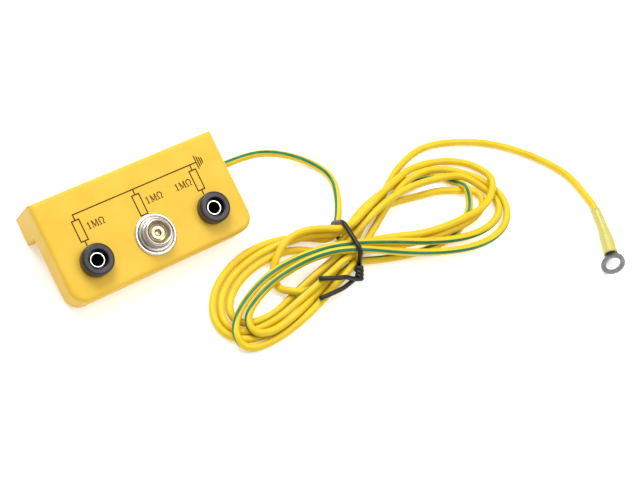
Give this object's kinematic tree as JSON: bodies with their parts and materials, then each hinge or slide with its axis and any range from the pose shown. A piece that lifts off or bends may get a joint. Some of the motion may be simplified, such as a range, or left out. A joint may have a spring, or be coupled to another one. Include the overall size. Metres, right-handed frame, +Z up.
{
  "type": "earth bonding point with lead",
  "caption": "Small moulded bench box with two 4 mm sockets and a snap stud on its face, and an earth lead tied in a hank that ends in a ring terminal.",
  "frame": {"origin": "middle of the box's footprint, on the surface that it lies on; the lead isn't counted", "axes": "+Z up from that surface, +X along the box towards the end that the lead leaves, +Y towards the lip; the box lies on its back, so its face leans 22 degrees towards -Y"},
  "size_m": [0.2041, 0.1235, 0.0242],
  "materials": {
    "box_plastic": "warm yellow moulded ABS, fine satin texture",
    "screw_steel": "zinc plated steel",
    "socket_plastic": "black polyamide, semi-gloss",
    "nickel": "bright nickel plate",
    "tinned_brass": "dull tin plate",
    "brass": "pale plated brass",
    "resistor_coat": "lacquered ceramic",
    "tinned_wire": "tinned copper wire",
    "lead_plastic": "yellow PVC with a green stripe",
    "copper": "bare copper strands",
    "nylon": "natural nylon",
    "ink": "dark brown printing ink",
    "tie_plastic": "black plastic over a soft wire",
    "sleeve_plastic": "pale see-through PVC",
    "tinned_copper": "grey tin plate"
  },
  "bodies": {
    "root": {"back_cover": "box_plastic", "bus_wire": "tinned_wire", "cable_tie": "nylon", "conductor_end": "copper", "cover_screws": "screw_steel", "crimp_sleeve": "sleeve_plastic", "face_diagram": "ink", "housing": "box_plastic", "inner_core": "copper", "inner_lead": "lead_plastic", "lead_exit_run": "lead_plastic", "lead_hank": "lead_plastic", "lead_tail_run": "lead_plastic", "resistor_left": "resistor_coat", "resistor_middle": "resistor_coat", "resistor_right": "resistor_coat", "resistor_wires": "tinned_wire", "ring_terminal": "tinned_copper", "socket_collar_left": "socket_plastic", "socket_collar_right": "socket_plastic", "socket_nut_left": "nickel", "socket_nut_right": "nickel", "socket_tag_left": "tinned_brass", "socket_tag_right": "tinned_brass", "socket_tube_left": "nickel", "socket_tube_right": "nickel", "stud_base": "nickel", "stud_eyelet": "brass", "stud_head": "nickel", "stud_tag": "tinned_brass", "stud_washer": "tinned_brass", "twist_tie": "tie_plastic"}
  },
  "joints": []
}
